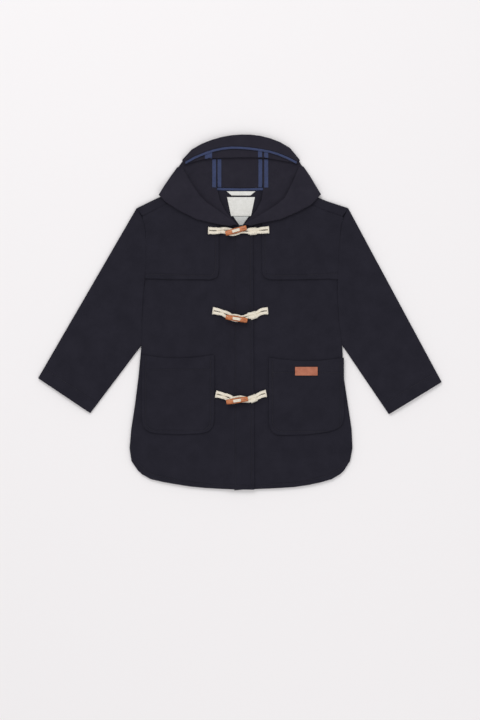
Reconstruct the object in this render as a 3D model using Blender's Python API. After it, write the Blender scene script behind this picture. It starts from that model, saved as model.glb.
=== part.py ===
"""A child's hooded duffle coat, closed with three toggles and laid flat on its back."""
import math

import bmesh
import bpy
from mathutils import Vector

# Driving dimensions in metres: +X to the wearer's left, +Y to the hood, +Z up from the surface.
CLOTH = 0.0022
SEAM = 0.0003
LAYER = 0.0005
LOFT = 0.0028
SHOULDER_WRAP = 0.0174
WRAP_RADIUS = 0.0020
UNDERARM_Y = -0.060
YOKE_Y = 0.060
OVERLAP_EDGE_X = -0.012
STEP_X = (-0.034, -0.0135)
STRIP_SEAM_X = {-1: -0.0438, 1: 0.0400}
HOOD_GAP = 0.0030
CORD_WIDTH = 0.0066
CORD_THICK = 0.0052
TOGGLE_RADIUS = 0.0038
TOGGLE_LENGTH = 0.039
TAPE = 0.0008

# Outline tables (x, y), bottom to top or left to right. Side -1 is the wearer's right.
SIDE_SEAM = {
    -1: [(-.178, -.292), (-.189, -.281), (-.197, -.268), (-.2005, -.234), (-.193, -.184),
         (-.185, -.122), (-.1785, -.060)],
    1: [(.178, -.292), (.189, -.281), (.196, -.268), (.2010, -.234), (.195, -.184),
        (.185, -.122), (.1815, -.060)],
}
ARMHOLE = {
    -1: [(-.1785, -.060), (-.1783, -.0142), (-.1755, .0337), (-.1705, .0816), (-.1700, .1295),
         (-.1735, .1630), (-.187, .187)],
    1: [(.1815, -.060), (.1760, -.0142), (.1735, .0337), (.1740, .0816), (.1770, .1295),
        (.1810, .1630), (.192, .187)],
}
HEM = [(-.178, -.292), (-.158, -.302), (-.097, -.313), (-.057, -.317), (0, -.3190),
       (.061, -.317), (.111, -.313), (.160, -.302), (.178, -.292)]
SHOULDER = {-1: [(-.187, .187), (-.148, .206), (-.090, .233)],
            1: [(.090, .229), (.144, .2028), (.192, .187)]}
SIDE_ROWS = (-.285, -.268, -.245, -.210, -.165, -.115, -.060, -.0142, .0337, .0816, .1295, .1630)
BACK_NECK = [(-.090, .233), (-.070, .2265), (-.047, .2235), (0, .2225), (.047, .2235),
             (.070, .2260), (.090, .229)]
FRONT_NECK = [(.003, .1530), (.030, .159), (.058, .171), (.080, .191), (.090, .209)]
# Hood rows: inner limit, fold and opening edge of each side, from the neck to the crown corner.
HOOD_ROWS = {
    -1: [(-.0100, .1600, -.0180, .1536, -.0070, .1570), (-.0190, .170, -.038, .1565, -.0240, .1700),
         (-.0290, .183, -.080, .1660, -.0460, .1855), (-.0380, .201, -.110, .1810, -.0620, .1965),
         (-.0438, .224, -.134, .1960, -.0750, .2100), (-.0438, .236, -.148, .2100, -.0850, .2240),
         (-.0438, .252, -.138, .2270, -.0940, .2390), (-.0438, .268, -.126, .2450, -.1005, .2510),
         (-.0438, .284, -.115, .2600, -.1050, .2600), (-.0438, .306, -.104, .2745, None, None)],
    1: [(.0080, .1600, .0150, .1545, .0040, .1570), (.0170, .170, .034, .1590, .0250, .1680),
        (.0280, .183, .071, .1660, .0480, .1820), (.0370, .201, .103, .1800, .0660, .1940),
        (.0400, .224, .126, .1920, .0780, .2040), (.0400, .236, .144, .2110, .0860, .2190),
        (.0400, .252, .1345, .2270, .0950, .2380), (.0400, .268, .124, .2450, .1005, .2520),
        (.0400, .284, .113, .2610, .1040, .2610), (.0400, .306, .103, .2750, None, None)],
}
CROWN_TOP = [(-.106, .2730), (-.097, .2855), (-.079, .2980), (-.055, .3085), (-.025, .3165),
             (.008, .3190), (.035, .3165), (.060, .3095), (.083, .2985), (.097, .2860), (.106, .2730)]
CROWN_FOLD = [(-.1030, .2650), (-.085, .2705), (-.065, .2750), (-.025, .2775), (.016, .2780),
              (.045, .2768), (.065, .2735), (.086, .2700), (.1030, .2665)]
FACING_EDGE = [(-.1010, .2700), (-.085, .2790), (-.047, .2930), (-.008, .2975), (.043, .2920),
               (.072, .2840), (.1010, .2705)]
# Closures: centre, toggle tilt in degrees, outer ends of the two doubled cords.
CLOSURES = [
    {"centre": (-.0090, .1455), "tilt": 16.0, "left": (-.0590, .1460), "right": (.0500, .1470)},
    {"centre": (-.0080, -.0126), "tilt": -9.5, "left": (-.0510, .0025), "right": (.0480, .0020)},
    {"centre": (-.0070, -.1590), "tilt": 9.0, "left": (-.0450, -.1480), "right": (.0450, -.1470)},
]


def smoothstep(low, high, value):
    share = min(1.0, max(0.0, (value - low) / (high - low)))
    return share * share * (3 - 2 * share)


def smooth(points, pieces=4):
    """A Catmull-Rom line through the points."""
    padded = [points[0]] + list(points) + [points[-1]]
    line = []
    for a, b, c, d in zip(padded, padded[1:], padded[2:], padded[3:]):
        for step in range(pieces):
            t = step / pieces
            line.append(tuple(
                0.5 * (2 * q + (r - p) * t + (2 * p - 5 * q + 4 * r - s) * t * t
                       + (3 * q - p - 3 * r + s) * t ** 3)
                for p, q, r, s in zip(a, b, c, d)))
    return line + [tuple(points[-1])]


def at(line, value, key=0):
    """The other coordinate of a line where coordinate `key` has this value."""
    rows = sorted((p[key], p[1 - key]) for p in line)
    if value <= rows[0][0]:
        return rows[0][1]
    for (a, fa), (b, fb) in zip(rows, rows[1:]):
        if value <= b:
            return fa + (fb - fa) * (value - a) / max(b - a, 1e-9)
    return rows[-1][1]


def by_key(line, shares, key):
    """Points of the line at these shares of its reach along one coordinate."""
    first, last = line[0][key], line[-1][key]
    made = []
    for share in shares:
        value = first + (last - first) * share
        other = at(line, value, key)
        made.append((value, other) if key == 0 else (other, value))
    made[0] = line[0]
    made[-1] = line[-1]
    return made


def row_shares(low, high):
    """Shares of the reach from low to high at which every body panel has a row."""
    levels = [low, *[y for y in SIDE_ROWS if low < y < high - .004], high]
    return [(y - low) / (high - low) for y in levels]


def coons(bottom, top, left, right, us, vs):
    """A grid of plan points between four edges."""
    grid = []
    for v, a, b in zip(vs, left, right):
        row = []
        for u, c, d in zip(us, bottom, top):
            row.append(tuple(
                (1 - v) * c[k] + v * d[k] + (1 - u) * a[k] + u * b[k]
                - (1 - u) * (1 - v) * bottom[0][k] - u * (1 - v) * bottom[-1][k]
                - (1 - u) * v * top[0][k] - u * v * top[-1][k]
                for k in (0, 1)))
        grid.append(row)
    return grid


def material(name, colour, roughness):
    made = bpy.data.materials.new(name)
    made.use_nodes = True
    shader = made.node_tree.nodes["Principled BSDF"]
    shader.inputs["Base Color"].default_value = (*colour, 1)
    shader.inputs["Roughness"].default_value = roughness
    shader.inputs["Metallic"].default_value = 0.0
    return made


def add_object(name, bm, finish):
    bmesh.ops.recalc_face_normals(bm, faces=bm.faces)
    mesh = bpy.data.meshes.new(name)
    bm.to_mesh(mesh)
    bm.free()
    mesh.materials.append(finish)
    mesh.shade_smooth()
    made = bpy.data.objects.new(name, mesh)
    bpy.context.scene.collection.objects.link(made)
    return made


def wall(name, outer, inner, finish, closed=False):
    """A wall between two grids of points; None leaves a place out, closed joins each row's ends."""
    bm = bmesh.new()
    sides = [[[bm.verts.new(p) if p else None for p in row] for row in grid] for grid in (outer, inner)]
    count = len(outer[0])
    edges = {}
    for r in range(len(outer) - 1):
        for c in range(count if closed else count - 1):
            corners = [(r, c), (r, (c + 1) % count), (r + 1, (c + 1) % count), (r + 1, c)]
            if any(outer[i][j] is None for i, j in corners):
                continue
            bm.faces.new([sides[0][i][j] for i, j in corners])
            bm.faces.new([sides[1][i][j] for i, j in reversed(corners)])
            for a, b in zip(corners, corners[1:] + corners[:1]):
                edges.setdefault(frozenset((a, b)), []).append((a, b))
    for found in edges.values():
        if len(found) == 1:
            (a, b), (c, d) = found[0]
            bm.faces.new([sides[0][c][d], sides[0][a][b], sides[1][a][b], sides[1][c][d]])
    return add_object(name, bm, finish)


def panel(name, grid, base, finish, thickness=CLOTH):
    """A panel over a grid of plan points, with its underside at the height base(x, y)."""
    lower = [[Vector((x, y, base(x, y))) for x, y in row] for row in grid]
    upper = [[p + Vector((0, 0, thickness)) for p in row] for row in lower]
    return wall(name, upper, lower, finish)


def half_width(x, y):
    side = -1 if x < 0 else 1
    line = SIDE_SEAM[side] + ARMHOLE[side][1:]
    return abs(at(line, y, 1))


def air(x, y):
    """The air between the back and the fronts."""
    across = max(0.0, 1 - (abs(x) / half_width(x, y)) ** 4)
    along = 0.3 + 0.7 * smoothstep(-.319, -.22, y)
    along *= 1 - smoothstep(.06, .14, y)
    return SEAM + LOFT * across * along


def under_base(x, y):
    return CLOTH + air(x, y)


def over_base(x, y):
    return under_base(x, y) + (CLOTH + LAYER) * smoothstep(*STEP_X, x)


def front_top(x, y):
    return (over_base(x, y) if x < 0 else under_base(x, y)) + CLOTH


def on_front(x, y):
    return front_top(x, y) + LAYER


def hood_floor(x, y):
    """The height of what a hood side lies on."""
    side = -1 if x < 0 else 1
    stack = 3 * CLOTH + SEAM + 2 * LAYER + 0.0004
    past_shoulder = y - at(SHOULDER[side], x)
    on_stack = stack * (1 - smoothstep(.001, .016, past_shoulder))
    past_neck = y - at(BACK_NECK, x)
    in_neck = (CLOTH + TAPE + 2 * LAYER) * (1 - smoothstep(.0006, .010, past_neck))
    reach = at(FRONT_NECK, y, 1)
    share = smoothstep(reach - .042, reach - .012, abs(x))
    return in_neck + (on_stack - in_neck) * share if on_stack > in_neck else in_neck


def fold_row(flat, start_z, direction, radius, count=5):
    """Points of a half-round fold beyond `flat`: (outer, inner), from the lower layer to the upper."""
    outer = []
    inner = []
    for step in range(count + 1):
        angle = math.pi * step / count - math.pi / 2
        for points, reach in ((outer, radius + CLOTH / 2), (inner, radius - CLOTH / 2)):
            run = math.cos(angle) * reach
            rise = start_z + CLOTH / 2 + radius + math.sin(angle) * reach
            points.append(Vector((flat[0] + direction[0] * run, flat[1] + direction[1] * run, rise)))
    return outer, inner


def unit(x, y):
    size = math.hypot(x, y)
    return x / size, y / size


def make_back(finish):
    """The back panel, whose shoulders roll over to the front."""
    shares = [0, .04, .10, .16, .22, .2594, .32, .40, .50, .60, .68, .7440, .79, .84, .90, .96, 1]
    top = SHOULDER[-1] + BACK_NECK[1:-1] + SHOULDER[1]
    heights = row_shares(HEM[0][1], ARMHOLE[-1][-1][1])
    reach = WRAP_RADIUS + CLOTH / 2
    lines = [smooth(SIDE_SEAM[s]) + ARMHOLE[s][1:] for s in (-1, 1)]
    top_points = by_key(top, shares, 0)
    grid = coons(by_key(smooth(HEM), shares, 0), top_points, by_key(lines[0], heights, 1),
                 by_key(lines[1], heights, 1), shares, heights)
    first, last = shares.index(.2594), shares.index(.7440)
    outer = [[Vector((x, y, 0)) for x, y in row] for row in grid]
    inner = [[Vector((x, y, CLOTH)) for x, y in row] for row in grid]
    folds = {}
    for column, (x, y) in enumerate(top_points):
        if first < column < last:
            continue
        side = -1 if column <= first else 1
        (ax, ay), (bx, by) = SHOULDER[side][0], SHOULDER[side][-1]
        along = unit(bx - ax, by - ay)
        normal = (-along[1], along[0])
        start = (x - normal[0] * reach, y - normal[1] * reach)
        outs, ins = fold_row(start, 0.0, normal, WRAP_RADIUS)
        drift = .0035 * (1 - abs(column - (0 if side < 0 else len(shares) - 1)) / first) * -side
        for depth in (.5, 1.0):
            run = (SHOULDER_WRAP - reach) * depth
            shift = Vector((-normal[0] * run + along[0] * drift * depth,
                            -normal[1] * run + along[1] * drift * depth, 0))
            outs.append(outs[5] + shift)
            ins.append(ins[5] + shift)
        folds[column] = (outs, ins)
        outer[-1][column] = outs[0]
        inner[-1][column] = ins[0]
    for step in range(1, 8):
        outer.append([folds[c][0][step] if c in folds else None for c in range(len(shares))])
        inner.append([folds[c][1][step] if c in folds else None for c in range(len(shares))])
    wall("back", outer, inner, finish)


def forward_seam(side, extra):
    """The shoulder seam on the front: the shoulder line moved in by the wrap and a gap."""
    line = SHOULDER[side] if side < 0 else SHOULDER[side][::-1]
    (ax, ay), (bx, by) = line[0], line[-1]
    along = unit(bx - ax, by - ay)
    normal = (-along[1], along[0]) if side < 0 else (along[1], -along[0])
    depth = SHOULDER_WRAP + extra
    return [(x - normal[0] * depth, y - normal[1] * depth) for x, y in line]


def front_outline(side, inner_x, inner_top):
    """The outer, top and inner lines of a front, from the side seam to its centre edge."""
    seam = forward_seam(side, SEAM)
    arm = [p for p in ARMHOLE[side] if p[1] < seam[0][1] - .004]
    outer_line = smooth(SIDE_SEAM[side]) + arm[1:]
    tip = (at(ARMHOLE[side], seam[0][1], 1), seam[0][1])
    neck = [(side * x, y) for x, y in reversed(FRONT_NECK)]
    neck = [p for p in neck if abs(p[0]) < abs(seam[-1][0]) - .004 and p[1] < seam[-1][1] - .004]
    seam = [tip] + [p for p in seam[1:] if abs(p[0]) < abs(tip[0]) - .004]
    return outer_line + [tip], seam + neck + [(inner_x, inner_top)]


def make_front(name, side, centre_x, hem_y, shares, base, finish):
    outer_line, top = front_outline(side, centre_x, .1525)
    hem = [p for p in smooth(HEM) if (p[0] - centre_x) * side > .004]
    hem = hem if side < 0 else hem[::-1]
    bottom = hem + [(centre_x, hem_y)]
    heights = row_shares(outer_line[0][1], outer_line[-1][1])
    centre = [(centre_x + (0 if side > 0 else -.003 * h), hem_y + (.1525 - hem_y) * h) for h in heights]
    top[-1] = centre[-1]
    grid = coons(by_key(bottom, shares, 0), by_key(top, shares, 0),
                 by_key(outer_line, heights, 1), centre, shares, heights)
    panel(name, grid, base, finish)


def make_yoke(name, side, inner_x, finish):
    outer_line, top = front_outline(side, side * .003, .1525)
    shares = [0, .12, .26, .42, .58, .72, .84, .92, 1]
    heights = [0, .06, .14, .30, .50, .70, .88, 1]
    edge = abs(at(outer_line, YOKE_Y, 1)) * side
    arm = [(edge, YOKE_Y)] + [(x - side * SEAM, y) for x, y in outer_line if y > YOKE_Y + .003]
    top = [(arm[-1][0], top[0][1])] + top[1:]
    inside = (inner_x, at(top, inner_x))
    upper = [p for p in top if abs(p[0]) > abs(inner_x) + .002] + [inside]
    bend = .013
    corner = [(inner_x + side * bend * (1 - math.sin(a)), YOKE_Y - .002 + bend * (1 - math.cos(a)))
              for a in (0, .4, .8)]
    bottom = [(edge, YOKE_Y + .001), (edge * .6, YOKE_Y - .001)] + corner
    edge_line = [corner[-1], (inner_x + side * .0012, YOKE_Y + .0068), (inner_x, YOKE_Y + .0115), inside]
    grid = coons(by_key(bottom, shares, 0), by_key(upper, shares, 0), by_key(arm, heights, 1),
                 by_key(edge_line, heights, 1), shares, heights)
    panel(name, grid, on_front, finish)


def make_pocket(name, low_x, high_x, top_y, bottom_y, slant, finish):
    """A patch pocket with round lower corners and a mouth that dips in the middle."""
    shares = [0, .06, .16, .32, .50, .68, .84, .94, 1]
    heights = [0, .05, .14, .32, .55, .80, 1]
    bend = .023
    cut = bend * (1 - math.sqrt(0.5))
    width = high_x - low_x

    def floor(x):
        return bottom_y + slant * (x - low_x) / width

    bottom = [(low_x + cut, floor(low_x) + cut), (low_x + bend * .55, floor(low_x) + .0025),
              (low_x + bend, floor(low_x + bend)), ((low_x + high_x) / 2, floor((low_x + high_x) / 2) - .002),
              (high_x - bend, floor(high_x - bend)), (high_x - bend * .55, floor(high_x) + .0025),
              (high_x - cut, floor(high_x) + cut)]
    left = [bottom[0], (low_x + .0025, floor(low_x) + bend * .55), (low_x, floor(low_x) + bend), (low_x, top_y)]
    right = [bottom[-1], (high_x - .0025, floor(high_x) + bend * .55),
             (high_x, floor(high_x) + bend), (high_x, top_y)]
    mouth = [(low_x + width * u, top_y - .0065 * math.sin(math.pi * u)) for u in shares]
    grid = coons(by_key(bottom, shares, 0), mouth, by_key(left, heights, 1),
                 by_key(right, heights, 1), shares, heights)
    panel(name, grid, on_front, finish)


def make_sleeve(name, side, shoulder, underarm, cuff_top, cuff_under, finish):
    """A flattened tube from the armhole to the cuff, in one piece with its seam under the arm."""
    stations = 9
    line = ARMHOLE[side]
    reach_y = shoulder[1] - underarm[1]
    across = [(shoulder[1] - y) / reach_y for _, y in reversed(line)]
    across[0], across[-1] = 0, 1
    outer = []
    inner = []
    for k in range(stations + 1):
        t = (k / stations) ** 1.15
        a = Vector((*[p + (q - p) * t for p, q in zip(shoulder, cuff_top)], 0))
        b = Vector((*[p + (q - p) * t for p, q in zip(underarm, cuff_under)], 0))
        run = (b - a).normalized()
        fade = max(0.0, 1 - t / .45) ** 2
        cap = 1 - smoothstep(.02, .22, t)
        start = a + run * (CLOTH + SEAM)
        end = b - run * (CLOTH + SEAM)
        ring_out = []
        ring_in = []

        def place(share, z):
            p = start + (end - start) * share
            level = shoulder[1] + (underarm[1] - shoulder[1]) * share
            chord = shoulder[0] + (underarm[0] - shoulder[0]) * share
            p = p + Vector(((at(line, level, 1) + side * 2 * SEAM - chord) * fade, 0, 0))
            return Vector((p.x, p.y, z))

        for s in across:
            puff = (4 * s * (1 - s)) ** 0.6
            gap = 2 * SEAM + (0.55 * LOFT + 0.3 * LOFT * cap * (1 - s)) * puff
            ring_out.append(place(s, 2 * CLOTH + gap))
            ring_in.append(place(s, CLOTH + gap))
        for half, centre in ((1, 1.0), (-1, 0.0)):
            for angle in (45, 90, 135) if half > 0 else (-45, -90, -135):
                turn = math.radians(angle)
                middle = place(centre, CLOTH + SEAM)
                for ring, reach in ((ring_out, CLOTH + SEAM), (ring_in, SEAM)):
                    ring.append(middle + run * (math.sin(turn) * reach)
                                + Vector((0, 0, math.cos(turn) * reach * (1 if half > 0 else -1))))
            if half > 0:
                for s in reversed(across):
                    ring_out.append(place(s, 0.0))
                    ring_in.append(place(s, CLOTH))
        outer.append(ring_out)
        inner.append(ring_in)
    wall(name, outer, inner, finish, closed=True)


def make_hood_side(name, side, finish):
    """A hood side: its lower layer rests, folds over along the outline and comes back to the opening."""
    rows = HOOD_ROWS[side]
    radius = CLOTH / 2 + SEAM
    sheet = [0, .25, .5, .75, .92, 1]
    outer = []
    inner = []
    for index, (ix, iy, ox, oy, ex, ey) in enumerate(rows):
        direction = unit(ox - ix, oy - iy)
        reach = radius + CLOTH / 2
        flat = (ox - direction[0] * reach, oy - direction[1] * reach)
        lower = [(ix + (flat[0] - ix) * s, iy + (flat[1] - iy) * s) for s in sheet]
        levels = [hood_floor(*p) for p in lower]
        outs = [Vector((*p, z)) for p, z in zip(lower, levels)]
        ins = [p + Vector((0, 0, CLOTH)) for p in outs]
        if ex is None:
            outs += [None] * 9
            ins += [None] * 9
        else:
            fold_out, fold_in = fold_row(flat, levels[-1], direction, radius)
            outs += fold_out[1:]
            ins += fold_in[1:]
            lift = HOOD_GAP * math.sin(math.pi * min(1, index / 8)) ** 0.7
            for s in (.2, .45, .72, 1):
                p = (flat[0] + (ex - flat[0]) * s, flat[1] + (ey - flat[1]) * s)
                floor = max(hood_floor(*p), levels[-1] * (1 - s))
                z = floor + CLOTH + 2 * SEAM + lift * math.sin(math.pi * s / 2)
                ins.append(Vector((*p, z)))
                outs.append(Vector((*p, z + CLOTH)))
        outer.append(outs)
        inner.append(ins)
    wall(name, outer, inner, finish)


def band(name, low_line, high_line, base, thickness, finish, shares):
    low = by_key(low_line, shares, 0)
    high = by_key(high_line, shares, 0)
    steps = (0, .35, .7, 1)
    grid = [[tuple(p[k] + (q[k] - p[k]) * s for k in (0, 1)) for p, q in zip(low, high)] for s in steps]
    panel(name, grid, base, finish, thickness)


def make_hood_crown(finish, blue):
    """The centre strip, and above it the crown folded down over itself in one pleat."""
    shares = [n / 12 for n in range(13)]
    left, right = STRIP_SEAM_X[-1] + SEAM, STRIP_SEAM_X[1] - SEAM
    neck = [(left, .2241), (0, .2229), (right, .2241)]
    top = [(left, .3060), (0, .3130), (right, .3080)]
    band("hood_centre", neck, top, lambda x, y: 0.0, CLOTH, finish, [0, .25, .5, .75, 1])
    level = CLOTH + LAYER
    fold = smooth(CROWN_FOLD)
    rim = smooth(CROWN_TOP)
    band("hood_crown_fold", fold, rim, lambda x, y: level, 2 * CLOTH, finish, shares)
    edge = smooth(FACING_EDGE)
    inner_rim = [(x * .985, y - .001) for x, y in rim]
    facing = level + 2 * CLOTH + LAYER
    band("hood_facing", edge, inner_rim, lambda x, y: facing, CLOTH, finish, shares)
    drop = [(x * .995, y - .0002 - SEAM) for x, y in edge]
    low = [(x * .985, y - .0045) for x, y in edge]
    band("hood_facing_binding", low, drop, lambda x, y: facing, CLOTH, blue, shares)
    return level + 2 * CLOTH + LAYER


def strip(name, a, b, width, level, finish, thickness=TAPE, end_width=None):
    """A flat tape from a to b."""
    run = unit(b[0] - a[0], b[1] - a[1])
    across = (-run[1], run[0])
    grid = []
    for point, wide in ((a, width), (b, end_width or width)):
        grid.append([(point[0] + across[0] * wide * s, point[1] + across[1] * wide * s) for s in (.5, -.5)])
    panel(name, grid, lambda x, y: level, finish, thickness)


def make_tapes(blue, crown_level):
    """The bound seam allowances inside the hood and at the neck."""
    def tape(name, low_x, high_x):
        outer = name.endswith("outer")
        shares = (0, .2, .4, .7, 1)
        first = .2375 if outer else .2300
        rise = .0028 if outer else 0
        grid = [[(low_x + (high_x - low_x) * s + dx, first + (.2640 - first) * s) for dx in (-.0032, .0032)]
                for s in shares]
        panel(name, grid, lambda x, y: CLOTH + LAYER + rise * (1 - smoothstep(.236, .258, y)), blue, TAPE)

    for name, low_x, high_x in (("seam_tape_right_outer", -.0485, -.0480),
                                ("seam_tape_right_inner", -.0390, -.0385)):
        tape(name, low_x, high_x)
    for name, low_x, high_x in (("seam_tape_left_inner", .0350, .0345),
                                ("seam_tape_left_outer", .0458, .0450)):
        tape(name, low_x, high_x)
    strip("crown_tape_right", (-.0585, .2770), (-.0583, .2812), .0130, crown_level, blue)
    strip("crown_tape_left_inner", (.0345, .2800), (.0340, .2875), .0070, crown_level, blue)
    strip("crown_tape_left_outer", (.0455, .2790), (.0450, .2845), .0070, crown_level, blue)
    grid = [[(x, y + dy) for x, y in by_key(BACK_NECK[2:-2], [0, .25, .5, .75, 1], 0)]
            for dy in (-.0045, -.0003)]
    panel("neck_binding", grid, lambda x, y: CLOTH + LAYER, blue, TAPE)


def make_labels(white, grey):
    level = CLOTH + LAYER
    strip("label_tab", (0, .2170), (0, .2095), .052, level, white, TAPE, .034)
    strip("label", (0, .2065), (0, .1725), .050, level, white, TAPE, .036)
    strip("label_care", (0, .1718), (0, .1560), .028, level, grey, TAPE, .006)


def place_level(number, x, y):
    """The height that a cord lies on."""
    base = CLOTH + air(x, y)
    high = base + 2 * CLOTH + LAYER
    low = base + CLOTH
    if number == 0:
        return high + LAYER
    share = smoothstep(*STEP_X, x) * (1 - smoothstep(.026, .042, x))
    return low + (high - low) * share + LAYER


def sweep(name, centres, widths, thick, finish):
    """A doubled cord: a flat section with two round strands along a line of centres."""
    outline = []
    for sign in (1, -1):
        for angle in (0, 45, 90, 120) if sign > 0 else (180, 225, 270, 300):
            turn = math.radians(angle)
            outline.append((math.cos(turn) * .25 + .25 * sign, math.sin(turn) * .5))
    rings = []
    for index, (centre, width) in enumerate(zip(centres, widths)):
        a = centres[max(0, index - 1)]
        b = centres[min(len(centres) - 1, index + 1)]
        run = unit(b[0] - a[0], b[1] - a[1])
        across = Vector((-run[1], run[0], 0))
        rings.append([Vector(centre) + across * (p * width) + Vector((0, 0, q * thick)) for p, q in outline])
    bm = bmesh.new()
    made = [[bm.verts.new(p) for p in ring] for ring in rings]
    count = len(outline)
    for first, second in zip(made, made[1:]):
        for c in range(count):
            d = (c + 1) % count
            bm.faces.new((first[c], first[d], second[d], second[c]))
    bm.faces.new(made[0][::-1])
    bm.faces.new(made[-1])
    return add_object(name, bm, finish)


def make_toggle(name, centre, tilt, z, finish):
    """A tubular toggle, turned about its own length."""
    profile = [(-.5, .80), (-.47, .93), (-.25, 1), (.25, 1), (.47, .93), (.5, .80)]
    bm = bmesh.new()
    rings = []
    for share, size in profile:
        ring = []
        for step in range(14):
            turn = 2 * math.pi * step / 14
            reach = TOGGLE_RADIUS * size
            ring.append(bm.verts.new((TOGGLE_LENGTH * share, math.cos(turn) * reach, math.sin(turn) * reach)))
        rings.append(ring)
    for first, second in zip(rings, rings[1:]):
        for c in range(14):
            d = (c + 1) % 14
            bm.faces.new((first[c], first[d], second[d], second[c]))
    bm.faces.new(rings[0][::-1])
    bm.faces.new(rings[-1])
    made = add_object(name, bm, finish)
    made.location = (*centre, z)
    made.rotation_euler = (0, 0, math.radians(tilt))


def make_closure(number, row, cream, wood):
    cx, cy = row["centre"]
    half = CORD_THICK / 2
    join_x = cx + .001
    for part, end, stop in (("toggle_cord", row["left"], join_x - .0009), ("loop_cord", row["right"], join_x + .0009)):
        centres = []
        widths = []
        for t in (0, .12, .3, .5, .7, .85, 1):
            x = end[0] + (stop - end[0]) * t
            bow = smoothstep(0, 1, t)
            y = end[1] + (cy - end[1]) * bow
            centres.append((x, y, place_level(number, x, y) + half))
            widths.append(2 * CORD_WIDTH * (1 - .35 * smoothstep(.45, .9, t)))
        sweep(f"{part}_{number + 1}", centres, widths, CORD_THICK, cream)
    z = place_level(number, cx, cy) + CORD_THICK + SEAM + TOGGLE_RADIUS
    make_toggle(f"toggle_{number + 1}", row["centre"], row["tilt"], z, wood)


def main():
    for old in list(bpy.data.objects):
        bpy.data.objects.remove(old)
    navy = material("navy_wool", (.016, .015, .022), .95)
    hood_navy = material("hood_wool", (.022, .020, .030), .95)
    blue = material("blue_binding", (.018, .030, .090), .80)
    cream = material("cream_cord", (.85, .80, .68), .90)
    wood = material("brown_toggle", (.45, .12, .03), .45)
    leather = material("tan_leather", (.39, .13, .07), .60)
    white = material("white_label", (.72, .72, .68), .85)
    grey = material("grey_label", (.50, .51, .50), .85)
    make_back(navy)
    over = [0, .08, .18, .30, .43, .56, .66, .725, .76, .79, .815, .87, 1]
    under = [0, .08, .18, .30, .43, .56, .68, .80, .90, 1]
    make_front("front_right", -1, .0240, -.3195, over, over_base, navy)
    make_front("front_left", 1, OVERLAP_EDGE_X, -.3208, under, under_base, navy)
    make_yoke("yoke_right", -1, -.0400, navy)
    make_yoke("yoke_left", 1, .0380, navy)
    make_pocket("pocket_right", -.178, -.048, -.077, -.218, 0, navy)
    make_pocket("pocket_left", .050, .1850, -.082, -.223, .010, navy)
    make_sleeve("sleeve_right", -1, (-.1875, .1872), (-.1790, -.0600), (-.365, -.119), (-.271, -.182), navy)
    make_sleeve("sleeve_left", 1, (.1925, .1872), (.1820, -.0600), (.361, -.126), (.266, -.184), navy)
    make_hood_side("hood_side_right", -1, hood_navy)
    make_hood_side("hood_side_left", 1, hood_navy)
    crown_level = make_hood_crown(hood_navy, blue)
    make_tapes(blue, crown_level)
    make_labels(white, grey)
    patch = on_front(.117, -.1065) + CLOTH + LAYER
    strip("leather_patch", (.0970, -.1065), (.1375, -.1065), .0155, patch, leather, .0014)
    for number, row in enumerate(CLOSURES):
        make_closure(number, row, cream, wood)


main()
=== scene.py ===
"""The looks of a child's navy duffle coat, laid flat on a pale floor."""
import math

import bmesh
import bpy
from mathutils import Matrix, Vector
from mathutils.bvhtree import BVHTree
from mathutils.kdtree import KDTree


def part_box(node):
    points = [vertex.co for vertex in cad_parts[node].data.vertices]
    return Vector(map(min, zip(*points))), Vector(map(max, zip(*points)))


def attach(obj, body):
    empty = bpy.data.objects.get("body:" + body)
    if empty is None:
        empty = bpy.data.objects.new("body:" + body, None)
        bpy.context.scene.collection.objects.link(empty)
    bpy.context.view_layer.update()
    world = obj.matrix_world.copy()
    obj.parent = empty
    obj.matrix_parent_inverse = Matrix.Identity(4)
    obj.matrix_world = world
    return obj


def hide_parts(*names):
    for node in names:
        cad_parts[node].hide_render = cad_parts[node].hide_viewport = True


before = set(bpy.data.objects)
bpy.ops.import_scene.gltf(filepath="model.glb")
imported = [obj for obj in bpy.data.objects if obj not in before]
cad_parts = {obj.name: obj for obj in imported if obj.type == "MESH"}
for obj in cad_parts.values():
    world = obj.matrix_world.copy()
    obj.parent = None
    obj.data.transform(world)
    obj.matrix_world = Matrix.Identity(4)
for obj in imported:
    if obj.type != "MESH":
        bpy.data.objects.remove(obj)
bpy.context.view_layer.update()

MM = 0.001
CLOTH = 2.2 * MM
STITCH_LENGTH = 2.6 * MM
STITCH_GAP = 1.2 * MM
STITCH_RADIUS = 0.30 * MM
CHANNEL_WIDTH = 1.5 * MM
CHANNEL_DEPTH = 0.95 * MM
FINE_EDGE = 1.9 * MM
PLAIN_EDGE = 7.0 * MM
SEAM_REACH = 4.0 * MM
CREASE_SHARE = 1.3
TOGGLE_LENGTH = 39 * MM
TOGGLE_HALF_WIDTH = 4.6 * MM
TOGGLE_HALF_HEIGHT = 3.8 * MM
FLOOR_Z = -0.0002

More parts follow.
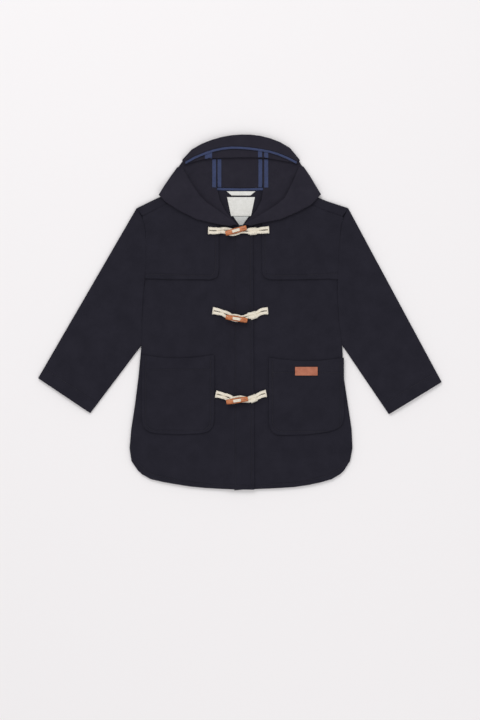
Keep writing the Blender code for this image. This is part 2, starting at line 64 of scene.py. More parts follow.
# Creases and swells of the cloth: x, y, half length, half width, turn in degrees, height (mm).
CREASES = [
    (-128, 118, 60, 20, -48, 1.4), (-92, 92, 55, 13, -42, -1.5), (-70, -12, 70, 12, -48, -1.6),
    (-118, 14, 60, 15, -50, 1.3), (-148, -20, 34, 10, 80, -0.9), (-60, 40, 44, 12, -35, 1.0),
    (96, 110, 48, 16, 50, 1.1), (132, 78, 46, 12, 66, -1.3), (84, 22, 60, 15, 40, -1.1),
    (132, -10, 42, 12, 62, 1.1), (62, -40, 34, 10, 20, 0.8), (150, -58, 28, 8, 70, -0.8),
    (-110, -248, 70, 12, 5, 0.9), (80, -250, 60, 11, -6, 0.8), (-150, -262, 30, 9, -30, -0.7),
    (-214, 88, 60, 11, 62, -1.3), (-236, 34, 58, 12, 60, 1.4), (-214, -6, 40, 9, 70, -1.2),
    (-256, -44, 56, 12, 55, 1.0), (-298, -88, 50, 11, 52, -0.9), (-198, 120, 40, 9, 75, 1.6),
    (206, 108, 46, 9, -72, 1.5), (222, 62, 58, 10, -66, -1.4), (246, 30, 56, 12, -60, 1.3),
    (214, -12, 40, 9, -74, -1.2), (262, -50, 56, 12, -57, 1.1), (300, -96, 46, 10, -54, -0.9),
    (0, 60, 60, 12, 88, 0.4), (4, -90, 60, 12, 90, 0.4),
    (-112, 196, 30, 8, -30, 0.7), (104, 196, 28, 8, 32, 0.7),
    (-82, 217, 40, 9, -53, -1.9), (-57, 225, 36, 9, -62, 2.0),
    (90, 228, 40, 9, 62, -1.9), (63, 228, 36, 9, 72, 2.0),
]

# How far each tape runs on past its solid, down and up (mm), and the cloth that it is sewn to.
TAPES = {
    "seam_tape_right_outer": (14, 11, ["hood_side_right", "hood_centre"]),
    "seam_tape_right_inner": (7, 11, ["hood_side_right", "hood_centre"]),
    "seam_tape_left_inner": (7, 11, ["hood_side_left", "hood_centre"]),
    "seam_tape_left_outer": (14, 11, ["hood_side_left", "hood_centre"]),
    "crown_tape_right": (1.5, 8, ["hood_crown_fold"]),
    "crown_tape_left_inner": (2, 5, ["hood_crown_fold"]),
    "crown_tape_left_outer": (2, 6, ["hood_crown_fold"]),
}
SEWN = ("back", "front_", "yoke_", "sleeve_", "hood_side", "hood_centre")


def smoothstep(low, high, value):
    share = min(1.0, max(0.0, (value - low) / (high - low)))
    return share * share * (3 - 2 * share)


def crease_height(x, y):
    """The soft creases of the laid cloth, in metres, at a place in plan."""
    total = 0.0
    for cx, cy, length, width, turn, height in CREASES:
        dx, dy = x / MM - cx, y / MM - cy
        angle = math.radians(turn)
        along = (dx * math.cos(angle) + dy * math.sin(angle)) / length
        across = (-dx * math.sin(angle) + dy * math.cos(angle)) / width
        # A crease bends a little along its length, so that it is never a straight bar.
        across += 0.35 * math.sin(along * 2.1 + cx)
        reach = along * along + across * across
        if reach < 6:
            total += height * math.exp(-reach)
    ripple = 0.22 * math.sin(x * 47 + y * 31) * math.sin(y * 39 - x * 18 + 1.3)
    return (total * CREASE_SHARE + ripple) * MM


def rounded(low, high, inset, radius):
    """A U-shaped line inside a box, with round lower corners."""
    x0, x1, y0, y1 = low[0] + inset, high[0] - inset, low[1] + inset, high[1] - inset
    line = [(x0, y1)]
    for cx, cy, first in ((x0 + radius, y0 + radius, 180), (x1 - radius, y0 + radius, 270)):
        for step in range(7):
            angle = math.radians(first + 15 * step)
            line.append((cx + radius * math.cos(angle), cy + radius * math.sin(angle)))
    return line + [(x1, y1)]


def metres(points):
    return [(x * MM, y * MM) for x, y in points]


# The topstitching beside the pockets': yokes, placket, hems and cuffs, in mm in plan.
PLAIN_STITCHES = [
    ("yoke_right", [(-169, 68), (-110, 66), (-55, 65), (-49, 68), (-46, 75), (-45, 150)]),
    ("yoke_left", [(172, 69), (110, 66), (54, 65), (46, 68), (43, 75), (43, 150)]),
    ("front_right", [(16.5, 148), (18, -60), (19, -312)]),
    ("front_right", [(-11, 146), (-10.5, -60), (-9.5, -312)]),
    ("front_right", [(-188, -268), (-174, -284), (-155, -294), (-96, -306), (-56, -310), (14, -313)]),
    ("front_left", [(30, -313), (60, -310), (110, -306), (156, -294), (176, -283), (188, -268)]),
    ("sleeve_right", [(-350, -104), (-262, -162)]),
    ("sleeve_left", [(346, -111), (257, -165)]),
]


def stitch_lines():
    """Each line of topstitching: the piece that it runs on and its places in plan."""
    lines = []
    for name in ("pocket_right", "pocket_left"):
        low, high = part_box(name)
        lines.append((name, rounded(low, high, 6.5 * MM, 18 * MM)))
        hem_y = high[1] - 27 * MM
        lines.append((name, [(low[0] + 7 * MM, hem_y), (high[0] - 7 * MM, hem_y)]))
    return lines + [(name, metres(line)) for name, line in PLAIN_STITCHES]


STITCHES = stitch_lines()


def densify(line, step):
    points = []
    for (ax, ay), (bx, by) in zip(line, line[1:]):
        count = max(1, int(math.hypot(bx - ax, by - ay) / step))
        points += [(ax + (bx - ax) * k / count, ay + (by - ay) * k / count) for k in range(count)]
    return points + [line[-1]]


def line_tree(node):
    points = [p for name, line in STITCHES if name == node for p in densify(line, 1.0 * MM)]
    if not points:
        return None
    tree = KDTree(len(points))
    for index, (x, y) in enumerate(points):
        tree.insert((x, y, 0), index)
    tree.balance()
    return tree


def seam_trees():
    """The solids that are sewn edge to edge, for measuring the gaps that CAD leaves between them."""
    trees = {}
    for name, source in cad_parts.items():
        if name.startswith(SEWN):
            bm = bmesh.new()
            bm.from_mesh(source.data)
            trees[name] = BVHTree.FromBMesh(bm)
            bm.free()
    return trees


def close_seams(bm, node):
    """Moves each rim half way to the rim that it is sewn to, so that no light shows in a seam."""
    bm.normal_update()
    moves = []
    for vertex in bm.verts:
        out = Vector((0, 0, 0))
        for face in vertex.link_faces:
            if abs(face.normal.z) < 0.45:
                out += Vector((face.normal.x, face.normal.y, 0)) * face.calc_area()
        if out.length < 1e-14:
            continue
        out.normalize()
        near = None
        for lift in (-.7, 0, .7):
            start = vertex.co + Vector((0, 0, lift * MM)) + out * 1e-5
            for name, tree in SEAM_TREES.items():
                if name != node:
                    hit, _, _, gap = tree.ray_cast(start, out, SEAM_REACH)
                    if hit is not None and (near is None or gap < near):
                        near = gap
        if near is not None:
            moves.append((vertex, out * (near / 2 + .04 * MM)))
    for vertex, move in moves:
        vertex.co += move


SEAM_TREES = seam_trees()


def layer_share(z):
    """Creases move what lies above the back; the back stays on the floor."""
    return smoothstep(CLOTH * 0.9, CLOTH * 2.1, z)


def shell(node, finish, fine=PLAIN_EDGE):
    """A cloth piece on its solid's form: rounded edges, fine mesh, creases and stitched channels."""
    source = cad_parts[node]
    mesh = source.data.copy()
    piece = bpy.data.objects.new(node + "_cloth", mesh)
    bpy.context.scene.collection.objects.link(piece)
    bm = bmesh.new()
    bm.from_mesh(mesh)
    bmesh.ops.remove_doubles(bm, verts=bm.verts, dist=0.00002)
    bmesh.ops.dissolve_limit(bm, angle_limit=math.radians(0.6), verts=bm.verts, edges=bm.edges)
    if node.startswith(SEWN):
        close_seams(bm, node)
    sharp = [e for e in bm.edges if len(e.link_faces) == 2 and e.calc_face_angle(0) > math.radians(50)]
    bmesh.ops.bevel(bm, geom=sharp, offset=0.75 * MM, segments=2, profile=0.6, affect="EDGES",
                    clamp_overlap=True)
    bmesh.ops.triangulate(bm, faces=bm.faces)
    tree = line_tree(node)

    def wanted(edge):
        middle = (edge.verts[0].co + edge.verts[1].co) / 2
        if tree is None:
            return fine
        near = tree.find((middle.x, middle.y, 0))[2]
        top = middle.z > CLOTH * 1.5
        return FINE_EDGE if top and near < 4 * MM else fine

    for _ in range(7):
        long_edges = [e for e in bm.edges if e.calc_length() > wanted(e)]
        if not long_edges:
            break
        bmesh.ops.subdivide_edges(bm, edges=long_edges, cuts=1, use_grid_fill=False)
        bmesh.ops.triangulate(bm, faces=[f for f in bm.faces if len(f.verts) > 3])
    bm.normal_update()
    for vertex in bm.verts:
        x, y, z = vertex.co
        change = crease_height(x, y) * layer_share(z)
        if tree is not None and vertex.normal.z > 0.2 and z > CLOTH * 1.5:
            near = tree.find((x, y, 0))[2]
            change -= CHANNEL_DEPTH * math.exp(-(near / CHANNEL_WIDTH) ** 2)
            change += 0.25 * MM * math.exp(-((near - 3.2 * MM) / (1.6 * MM)) ** 2)
        vertex.co.z = max(z + change, 0.0)
    bmesh.ops.recalc_face_normals(bm, faces=bm.faces)
    bm.to_mesh(mesh)
    bm.free()
    mesh.shade_smooth()
    mesh.set_sharp_from_angle(angle=math.radians(60))
    mesh.materials.clear()
    mesh.materials.append(finish)
    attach(piece, "root")
    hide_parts(node)
    return piece


def new_material(name):
    made = bpy.data.materials.new(name)
    made.use_nodes = True
    return made, made.node_tree.nodes, made.node_tree.links, made.node_tree.nodes["Principled BSDF"]


def place(nodes):
    """The object's own coordinates, in metres."""
    return nodes.new("ShaderNodeTexCoord").outputs["Object"]


def noise(nodes, links, vector, scale, detail=3.0, rough=0.6, distort=0.0):
    made = nodes.new("ShaderNodeTexNoise")
    made.inputs["Scale"].default_value = scale
    made.inputs["Detail"].default_value = detail
    made.inputs["Roughness"].default_value = rough
    made.inputs["Distortion"].default_value = distort
    links.new(vector, made.inputs["Vector"])
    return made.outputs["Fac"]


def ramp(nodes, links, factor, low, high, start=0.3, end=0.7):
    made = nodes.new("ShaderNodeValToRGB")
    made.color_ramp.elements[0].position = start
    made.color_ramp.elements[0].color = (*low, 1)
    made.color_ramp.elements[1].position = end
    made.color_ramp.elements[1].color = (*high, 1)
    links.new(factor, made.inputs["Fac"])
    return made.outputs["Color"]


def add_bump(nodes, links, height, strength, distance, before=None):
    made = nodes.new("ShaderNodeBump")
    made.inputs["Strength"].default_value = strength
    made.inputs["Distance"].default_value = distance
    links.new(height, made.inputs["Height"])
    if before is not None:
        links.new(before, made.inputs["Normal"])
    return made.outputs["Normal"]


def wool(name, low, high, tint):
    """Felted wool: uneven dye, a short nap that lies in streaks, and a soft sheen."""
    made, nodes, links, shader = new_material(name)
    where = place(nodes)
    patches = noise(nodes, links, where, 38, 4, 0.65)
    fibres = noise(nodes, links, where, 1500, 4, 0.75, 0.6)
    mixed = nodes.new("ShaderNodeMath")
    mixed.operation = "MULTIPLY_ADD"
    mixed.inputs[1].default_value = 0.45
    links.new(patches, mixed.inputs[0])
    scaled = nodes.new("ShaderNodeMath")
    scaled.operation = "MULTIPLY"
    scaled.inputs[1].default_value = 0.55
    links.new(fibres, scaled.inputs[0])
    links.new(scaled.outputs[0], mixed.inputs[2])
    links.new(ramp(nodes, links, mixed.outputs[0], low, high), shader.inputs["Base Color"])
    shader.inputs["Roughness"].default_value = 0.95
    shader.inputs["Specular IOR Level"].default_value = 0.18
    shader.inputs["Sheen Weight"].default_value = 0.22
    shader.inputs["Sheen Roughness"].default_value = 0.45
    shader.inputs["Sheen Tint"].default_value = (*tint, 1)
    wide = add_bump(nodes, links, noise(nodes, links, where, 210, 3, 0.6), 0.35, 0.5 * MM)
    fine = add_bump(nodes, links, fibres, 0.55, 0.25 * MM, wide)
    links.new(fine, shader.inputs["Normal"])
    return made


def woven(name, low, high, pitch, roughness=0.8, sheen=0.1):
    """A plain woven tape or label with its threads crossing."""
    made, nodes, links, shader = new_material(name)
    where = place(nodes)
    threads = []
    for axis in ("X", "Y"):
        wave = nodes.new("ShaderNodeTexWave")
        wave.bands_direction = axis
        wave.inputs["Scale"].default_value = 0.5 / pitch
        wave.inputs["Distortion"].default_value = 0.4
        links.new(where, wave.inputs["Vector"])
        threads.append(wave.outputs["Fac"])
    weave = nodes.new("ShaderNodeMath")
    weave.operation = "MULTIPLY"
    links.new(threads[0], weave.inputs[0])
    links.new(threads[1], weave.inputs[1])
    spots = noise(nodes, links, where, 160, 3)
    links.new(ramp(nodes, links, spots, low, high), shader.inputs["Base Color"])
    shader.inputs["Roughness"].default_value = roughness
    shader.inputs["Sheen Weight"].default_value = sheen
    links.new(add_bump(nodes, links, weave.outputs[0], 0.5, 0.2 * MM), shader.inputs["Normal"])
    return made


def cotton():
    """Soft twisted cotton cord: cream, a little darker in the hollows of the twist."""
    made, nodes, links, shader = new_material("cream_cotton")
    where = place(nodes)
    fuzz = noise(nodes, links, where, 900, 4, 0.7)
    colour = ramp(nodes, links, fuzz, (.62, .55, .42), (.90, .85, .73), 0.25, 0.6)
    links.new(colour, shader.inputs["Base Color"])
    shader.inputs["Roughness"].default_value = 0.9
    shader.inputs["Sheen Weight"].default_value = 0.3
    links.new(add_bump(nodes, links, fuzz, 0.5, 0.3 * MM), shader.inputs["Normal"])
    return made


def toggle_wood():
    """Orange-brown toggle with dark grain along its length."""
    made, nodes, links, shader = new_material("toggle_grain")
    where = place(nodes)
    stretch = nodes.new("ShaderNodeMapping")
    stretch.inputs["Scale"].default_value = (0.12, 1.0, 1.0)
    links.new(where, stretch.inputs["Vector"])
    grain = noise(nodes, links, stretch.outputs["Vector"], 900, 4, 0.7, 0.4)
    colour = ramp(nodes, links, grain, (.20, .035, .008), (.62, .20, .055), 0.32, 0.6)
    links.new(colour, shader.inputs["Base Color"])
    shader.inputs["Roughness"].default_value = 0.42
    shader.inputs["Coat Weight"].default_value = 0.15
    links.new(add_bump(nodes, links, grain, 0.35, 0.15 * MM), shader.inputs["Normal"])
    return made


def leather():
    made, nodes, links, shader = new_material("tan_leather_grain")
    where = place(nodes)
    cells = nodes.new("ShaderNodeTexVoronoi")
    cells.inputs["Scale"].default_value = 1400
    links.new(where, cells.inputs["Vector"])
    blotch = noise(nodes, links, where, 110, 4)
    links.new(ramp(nodes, links, blotch, (.33, .095, .045), (.46, .155, .085)), shader.inputs["Base Color"])
    shader.inputs["Roughness"].default_value = 0.55
    links.new(add_bump(nodes, links, cells.outputs["Distance"], 0.35, 0.12 * MM), shader.inputs["Normal"])
    return made


def joined(name, bm, finish):
    mesh = bpy.data.meshes.new(name)
    bm.to_mesh(mesh)
    bm.free()
    mesh.shade_smooth()
    mesh.materials.append(finish)
    piece = bpy.data.objects.new(name, mesh)
    bpy.context.scene.collection.objects.link(piece)
    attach(piece, "root")
    return piece


def add_capsule(bm, start, end, radius, sides=6):
    """A short thread from start to end, with pointed ends."""
    run = (end - start).normalized()
    side = run.cross(Vector((0, 0, 1))).normalized()
    up = side.cross(run)
    rings = []
    for share, size in ((0, .55), (.15, 1), (.85, 1), (1, .55)):
        centre = start.lerp(end, share)
        rings.append([bm.verts.new(centre + (side * math.cos(a) + up * math.sin(a)) * radius * size)
                      for a in (2 * math.pi * k / sides for k in range(sides))])
    for first, second in zip(rings, rings[1:]):
        for k in range(sides):
            j = (k + 1) % sides
            bm.faces.new((first[k], first[j], second[j], second[k]))
    bm.faces.new(rings[0][::-1])
    bm.faces.new(rings[-1])


def add_tube(bm, path, radius, sides=10, flat=1.0):
    """A closed tube along a path; radius may be a function of the share of the path."""
    rings = []
    for index, centre in enumerate(path):
        run = (path[min(index + 1, len(path) - 1)] - path[max(index - 1, 0)]).normalized()
        side = run.cross(Vector((0, 0, 1)))
        side = side.normalized() if side.length > 1e-6 else Vector((1, 0, 0))
        up = side.cross(run)
        size = radius(index / (len(path) - 1)) if callable(radius) else radius
        rings.append([bm.verts.new(centre + side * math.cos(a) * size + up * math.sin(a) * size * flat)
                      for a in (2 * math.pi * k / sides for k in range(sides))])
    for first, second in zip(rings, rings[1:]):
        for k in range(sides):
            j = (k + 1) % sides
            bm.faces.new((first[k], first[j], second[j], second[k]))
    bm.faces.new(rings[0][::-1])
    bm.faces.new(rings[-1])


def make_stitches(pieces, finish):
    """Topstitching: one thread after another, laid in the channels of the cloth."""
    bpy.context.view_layer.update()
    bm = bmesh.new()
    for name, line in STITCHES:
        target = pieces[name]
        path = densify(line, 0.4 * MM)
        step = STITCH_LENGTH + STITCH_GAP
        travelled = 0.0
        start = path[0]
        for a, b in zip(path, path[1:]):
            travelled += math.hypot(b[0] - a[0], b[1] - a[1])
            if travelled < STITCH_LENGTH:
                continue
            if travelled < step:
                if start is not None:
                    ends = []
                    for x, y in (start, b):
                        hit, point, *_ = target.ray_cast(Vector((x, y, 0.1)), Vector((0, 0, -1)))
                        if hit:
                            ends.append(point + Vector((0, 0, STITCH_RADIUS * 0.35)))
                    if len(ends) == 2:
                        add_capsule(bm, ends[0], ends[1], STITCH_RADIUS)
                    start = None
                continue
            travelled = 0.0
            start = b
    return joined("topstitching", bm, finish)


def twisted_strand(bm, path, radius, pitch, phase):
    """Three plies wound round each other along a path."""
    lengths = [0.0]
    for a, b in zip(path, path[1:]):
        lengths.append(lengths[-1] + (b - a).length)
    for ply in range(3):
        points = []
        for index, centre in enumerate(path):
            run = (path[min(index + 1, len(path) - 1)] - path[max(index - 1, 0)]).normalized()
            side = run.cross(Vector((0, 0, 1))).normalized()
            up = side.cross(run)
            turn = phase + lengths[index] / pitch * 2 * math.pi + ply * 2 * math.pi / 3
            points.append(centre + (side * math.cos(turn) + up * math.sin(turn) * 0.9) * radius * 0.46)
        add_tube(bm, points, radius * 0.60, 8, 0.95)


def resample(points, step):
    """A smooth line through the points, with a point every step."""
    padded = [points[0]] + points + [points[-1]]
    line = []
    for a, b, c, d in zip(padded, padded[1:], padded[2:], padded[3:]):
        count = max(2, int((c - b).length / step))
        for k in range(count):
            t = k / count
            line.append(0.5 * (2 * b + (c - a) * t + (2 * a - 5 * b + 4 * c - d) * t * t
                               + (3 * b - a - 3 * c + d) * t ** 3))
    return line + [points[-1]]


CORD = {"strand": 3.15 * MM, "gap": 3.2 * MM, "pitch": 8.5 * MM}
# Closures, in mm: toggle centre and tilt, middle lines of the two doubled cords from the outer end
# inwards, where each is sewn through, and the loop's visible side above (1) or below (-1) the toggle.
CLOSURES = [
    {"toggle": (-9, 145.5, 16), "left": [(-58, 146), (-44, 145.5), (-30, 146.5), (-17, 144)],
     "right": [(49.5, 147.2), (38, 146.5), (25, 145.2), (13, 144.5)], "side": -1},
    {"toggle": (-8, -12.6, -9.5), "left": [(-50, 2), (-41, .5), (-30, -3), (-18, -9)],
     "right": [(47.5, 2), (37, .5), (25, -5.5), (13, -7)], "side": 1},
    {"toggle": (-7, -159, 9), "left": [(-44.5, -147.5), (-36, -149.5), (-26, -152.5), (-15, -157)],
     "right": [(44.5, -146.5), (36, -148.5), (25, -154.5), (12, -158)], "side": 1},
]


def surface_z(pieces, x, y, names):
    best = 0.0
    for name in names:
        hit, point, *_ = pieces[name].ray_cast(Vector((x, y, 0.1)), Vector((0, 0, -1)))
        if hit:
            best = max(best, point.z)
    return best


def make_cords(number, row, pieces, finish, thread):
    """The two doubled cords of a closure, and the loop round the toggle."""
    under = ["front_right", "front_left", "yoke_right", "yoke_left"]
    cx, cy, tilt = row["toggle"]
    centre = Vector((cx * MM, cy * MM, 0))
    lie = {}
    for side in ("left", "right"):
        bm = bmesh.new()
        middle = [Vector((x * MM, y * MM, 0)) for x, y in row[side]]
        line = resample(middle, 2.0 * MM)
        for sign in (1, -1):
            path = []
            for index, point in enumerate(line):
                run = (line[min(index + 1, len(line) - 1)] - line[max(index - 1, 0)]).normalized()
                across = Vector((-run.y, run.x, 0))
                share = index / (len(line) - 1)
                pinch = 1 - 0.22 * math.exp(-((share - .52) / .10) ** 2) - .25 * smoothstep(.8, 1, share)
                spread = CORD["gap"] * pinch * (1 + 0.06 * math.sin(share * 9 + number))
                place_at = point + across * spread * sign
                z = max(surface_z(pieces, place_at.x + dx * MM, place_at.y, under) for dx in (-3, 0, 3))
                path.append(Vector((place_at.x, place_at.y, z + CORD["strand"] * .92)))
            twisted_strand(bm, path, CORD["strand"], CORD["pitch"], sign + number)
        # The sewn end binds the two strands across, and the wrap holds them where the loop starts.
        def wrap(share, width, radius):
            at = line[int(share * (len(line) - 1))]
            nxt = line[min(int(share * (len(line) - 1)) + 2, len(line) - 1)]
            run = (nxt - at).normalized()
            across = Vector((-run.y, run.x, 0))
            z = surface_z(pieces, at.x, at.y, under) + CORD["strand"] * 1.05
            for k in range(max(1, int(width / (1.5 * MM)))):
                base = at + run * (k * 1.5 * MM)
                bow = [base + across * (s * CORD["gap"] * 1.95)
                       + Vector((0, 0, z + CORD["strand"] * (.95 - 1.1 * s * s))) for s in
                       (-1, -.75, -.5, -.25, 0, .25, .5, .75, 1)]
                add_tube(bm, bow, radius, 6)

        wrap(0.0, 2.0 * MM, 1.0 * MM)
        if side == "right":
            wrap(0.60, 12.5 * MM, 0.95 * MM)
        name = ("toggle_cord_" if side == "left" else "loop_cord_") + str(number + 1)
        lie[side] = (bm, name, line)
    toggle_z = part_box(f"toggle_{number + 1}")[0][2] + TOGGLE_HALF_HEIGHT
    turn = math.radians(tilt)
    along = Vector((math.cos(turn), math.sin(turn), 0))
    across = Vector((-along.y, along.x, 0))
    # The loop leaves the wrapped block, passes one side of the toggle's middle and closes behind it.
    bm, name, line = lie["right"]
    block = line[-1]
    low = toggle_z - TOGGLE_HALF_HEIGHT
    loop_radius = 2.1 * MM
    side = row["side"]
    near = 5.0 * MM
    route = [Vector((block.x + 1 * MM, block.y + side * 2.5 * MM, low - 1.2 * MM)),
             centre + along * 9 * MM + across * (side * (near + .6 * MM)) + Vector((0, 0, low - .6 * MM)),
             centre + across * (side * (near + 1.2 * MM)) + Vector((0, 0, low - .6 * MM)),
             centre - along * 9 * MM + across * (side * (near + .2 * MM)) + Vector((0, 0, low - .6 * MM)),
             centre - along * 14.5 * MM + across * (side * 1.0 * MM) + Vector((0, 0, low - 1.2 * MM)),
             centre - along * 9 * MM - across * (side * 2.8 * MM) + Vector((0, 0, low - 2.0 * MM)),
             centre + along * 5 * MM - across * (side * 2.6 * MM) + Vector((0, 0, low - 2.0 * MM)),
             Vector((block.x, block.y - side * 2.6 * MM, low - 1.6 * MM))]
    twisted_strand(bm, resample(route, 1.4 * MM), loop_radius, 6.0 * MM, number)
    # The toggle's own cord shows in its window.
    bm_left, name_left, _ = lie["left"]
    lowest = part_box(f"toggle_{number + 1}")[0][2]
    for s in (-1, 1):
        window = [centre + along * (x * MM) + across * (s * 1.25 * MM) + Vector((0, 0, lowest + z * MM))
                  for x, z in ((-7.0, 5.4), (-5.6, 7.1), (-2, 7.7), (2, 7.7), (5.6, 7.1), (7.0, 5.4))]
        twisted_strand(bm_left, resample(window, 1.2 * MM), 1.45 * MM, 5.0 * MM, s)
    for bm_side, piece_name in ((bm, name), (bm_left, name_left)):
        piece = joined(piece_name + "_twisted", bm_side, finish)
        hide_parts(piece_name)
    # Dark slit where each doubled cord is sewn down.
    slit = bmesh.new()
    for side_name in ("left", "right"):
        middle = lie[side_name][2]
        first, second = middle[int(.16 * len(middle))], middle[int(.38 * len(middle))]
        z = [surface_z(pieces, p.x, p.y, under) + CORD["strand"] * 1.35 for p in (first, second)]
        for k in range(4):
            a = first.lerp(second, k / 4)
            b = first.lerp(second, (k + .75) / 4)
            add_capsule(slit, Vector((a.x, a.y, z[0])), Vector((b.x, b.y, z[1])), 0.42 * MM)
    joined(f"cord_stitches_{number + 1}", slit, thread)


def make_toggle(number, row, finish):
    """A tube with flat-cut ends, a little fuller in the middle, with a long window cut in its top."""
    cx, cy, tilt = row["toggle"]
    low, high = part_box(f"toggle_{number + 1}")
    centre_z = (low[2] + high[2]) / 2
    profile = ((-.5, .0), (-.5, .52), (-.5, .80), (-.488, .88), (-.44, .94), (-.3, 1), (-.15, 1.02), (0, 1.03),
               (.15, 1.02), (.3, 1), (.44, .94), (.488, .88), (.5, .80), (.5, .52), (.5, .0))
    sides = 40
    bm = bmesh.new()
    rings = []
    for share, size in profile[1:-1]:
        ring = []
        for k in range(sides):
            a = 2 * math.pi * k / sides
            waver = 1 + .018 * math.sin(3 * a + number) + .012 * math.sin(share * 17 + number * 2)
            ring.append(bm.verts.new((TOGGLE_LENGTH * share,
                                      math.cos(a) * TOGGLE_HALF_WIDTH * size * waver,
                                      math.sin(a) * TOGGLE_HALF_HEIGHT * size * waver)))
        rings.append(ring)
    for first, second in zip(rings, rings[1:]):
        for k in range(sides):
            j = (k + 1) % sides
            bm.faces.new((first[k], first[j], second[j], second[k]))
    bm.faces.new(rings[0][::-1])
    bm.faces.new(rings[-1])
    bmesh.ops.recalc_face_normals(bm, faces=bm.faces)
    piece = joined(f"toggle_{number + 1}_turned", bm, finish)
    cutter_mesh = bpy.data.meshes.new("window")
    cut = bmesh.new()
    outline = []
    for k in range(24):
        a = 2 * math.pi * k / 24
        x = math.copysign(4.6, math.cos(a)) * MM + math.cos(a) * 2.9 * MM
        outline.append((x, math.sin(a) * 2.9 * MM))
    lower = [cut.verts.new((x, y, 0.6 * MM)) for x, y in outline]
    upper = [cut.verts.new((x, y, 8 * MM)) for x, y in outline]
    for k in range(24):
        j = (k + 1) % 24
        cut.faces.new((lower[k], lower[j], upper[j], upper[k]))
    cut.faces.new(lower[::-1])
    cut.faces.new(upper)
    bmesh.ops.recalc_face_normals(cut, faces=cut.faces)
    cut.to_mesh(cutter_mesh)
    cut.free()
    cutter = bpy.data.objects.new("window", cutter_mesh)
    bpy.context.scene.collection.objects.link(cutter)
    hollow = piece.modifiers.new("window", "BOOLEAN")
    hollow.object = cutter
    hollow.operation = "DIFFERENCE"
    graph = bpy.context.evaluated_depsgraph_get()
    mesh = bpy.data.meshes.new_from_object(piece.evaluated_get(graph))
    piece.modifiers.clear()
    piece.data = mesh
    bpy.data.objects.remove(cutter)
    mesh.set_sharp_from_angle(angle=math.radians(40))
    piece.location = (cx * MM, cy * MM, centre_z)
    piece.rotation_euler = (0, 0, math.radians(tilt))
    bpy.context.view_layer.update()
    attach(piece, "root")
    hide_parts(f"toggle_{number + 1}")


def make_tape(node, row, pieces, finish):
    """A tape laid along the cloth that it is sewn to, a little past the ends of its solid."""
    down, up, names = row
    low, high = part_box(node)
    bottom, top = low[1] - down * MM, high[1] + up * MM
    count = max(4, int((top - bottom) / (1.5 * MM)))
    bm = bmesh.new()
    rings = []
    for k in range(count + 1):
        y = bottom + (top - bottom) * k / count
        shares = (0, .06, .28, .5, .72, .94, 1)
        heights = [surface_z(pieces, low[0] + (high[0] - low[0]) * share, y, names) for share in shares]
        edge = [heights[0], heights[-1]]
        upper = [bm.verts.new((low[0] + (high[0] - low[0]) * share, y,
                               max(z, min(edge)) + (.9 if 0 < share < 1 else .5) * MM))
                 for share, z in zip(shares, heights)]
        lower = [bm.verts.new((v.co.x, y, v.co.z - (.8 if 0 < share < 1 else .4) * MM))
                 for share, v in zip(shares, upper)]
        rings.append(upper + lower[::-1])
    for first, second in zip(rings, rings[1:]):
        for k in range(len(first)):
            j = (k + 1) % len(first)
            bm.faces.new((first[k], first[j], second[j], second[k]))
    bm.faces.new(rings[0][::-1])
    bm.faces.new(rings[-1])
    bmesh.ops.recalc_face_normals(bm, faces=bm.faces)
    piece = joined(node + "_cloth", bm, finish)
    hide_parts(node)
    return piece


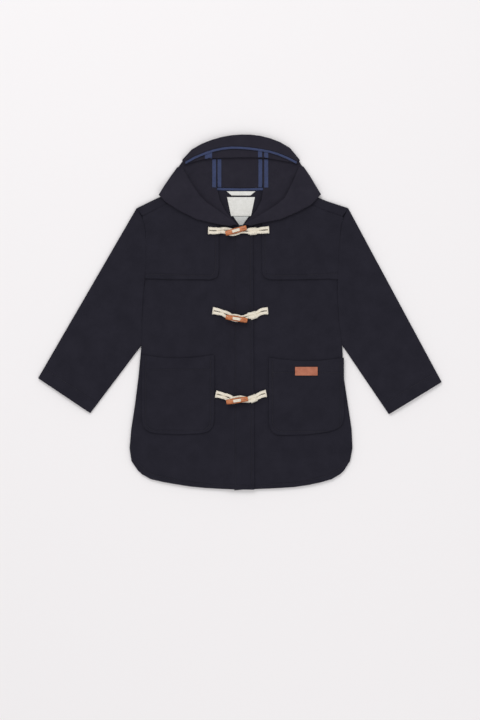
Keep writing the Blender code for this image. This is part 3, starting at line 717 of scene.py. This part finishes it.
def make_stage():
    """A pale floor, soft light from beyond the hood, and a camera straight above."""
    scene = bpy.context.scene
    bpy.ops.mesh.primitive_plane_add(size=8, location=(0, 0, FLOOR_Z))
    floor = bpy.context.object
    floor.name = "floor"
    made, _, _, shader = new_material("pale_floor")
    shader.inputs["Base Color"].default_value = (.90, .885, .892, 1)
    shader.inputs["Roughness"].default_value = 0.9
    shader.inputs["Specular IOR Level"].default_value = 0.1
    floor.data.materials.append(made)
    lights = (("key", (-0.7, 2.1, 2.6), 1.6, 36), ("fill", (0.9, -2.2, 2.9), 3.0, 27))
    for name, where, size, watts in lights:
        light = bpy.data.lights.new(name, "AREA")
        light.size = size
        light.energy = watts
        lamp = bpy.data.objects.new(name, light)
        lamp.location = where
        lamp.rotation_euler = (Vector((0, 0, 0)) - Vector(where)).to_track_quat("-Z", "Y").to_euler()
        scene.collection.objects.link(lamp)
    world = bpy.data.worlds.new("soft_room")
    world.use_nodes = True
    world.node_tree.nodes["Background"].inputs["Color"].default_value = (1.0, .985, .99, 1)
    world.node_tree.nodes["Background"].inputs["Strength"].default_value = 0.66
    scene.world = world
    data = bpy.data.cameras.new("camera")
    data.lens = 100
    data.sensor_width = 36
    camera = bpy.data.objects.new("camera", data)
    camera.location = (-0.0018, -0.0864, 3.6)
    scene.collection.objects.link(camera)
    scene.camera = camera
    scene.view_settings.view_transform = "Standard"


def main():
    make_stage()
    body = wool("navy_felt", (.0095, .0090, .0150), (.0185, .0175, .0270), (.20, .20, .30))
    hood = wool("hood_felt", (.0125, .0115, .0190), (.0235, .0215, .0320), (.22, .21, .32))
    blue = woven("blue_tape", (.016, .028, .085), (.024, .040, .120), 0.6 * MM, 0.75, 0.15)
    white = woven("label_weave", (.70, .70, .66), (.80, .80, .77), 0.45 * MM, 0.55, 0.1)
    # The care label's grey is painted shade: it is woven darker than the white label for the shade it lies in
    # at the bottom of the neck V.
    care_grey_painted_shade = woven("care_weave_painted_shade", (.52, .54, .53), (.62, .64, .63), 0.5 * MM, 0.55, 0.1)
    thread, _, _, shader = new_material("navy_thread")
    shader.inputs["Base Color"].default_value = (.012, .011, .018, 1)
    shader.inputs["Roughness"].default_value = 0.7
    pieces = {}
    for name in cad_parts:
        if name in TAPES:
            continue
        if name.startswith(("back", "front_", "yoke_", "pocket_", "sleeve_")):
            pieces[name] = shell(name, body, 6.0 * MM if name == "back" else 4.5 * MM)
        elif name.startswith("hood") and "binding" not in name:
            pieces[name] = shell(name, hood, 3.5 * MM)
        elif "binding" in name or "tape" in name:
            pieces[name] = shell(name, blue, 2.5 * MM)
        elif name.startswith("label"):
            # The care label gets the grey weave; its darkness is painted shade.
            pieces[name] = shell(name, care_grey_painted_shade if name == "label_care" else white, 2.5 * MM)
        elif name == "leather_patch":
            pieces[name] = shell(name, leather(), 2.5 * MM)
    bpy.context.view_layer.update()
    for name, row in TAPES.items():
        pieces[name] = make_tape(name, row, pieces, blue)
    make_stitches(pieces, thread)
    cream, wood = cotton(), toggle_wood()
    for number, row in enumerate(CLOSURES):
        make_cords(number, row, pieces, cream, thread)
        make_toggle(number, row, wood)


main()
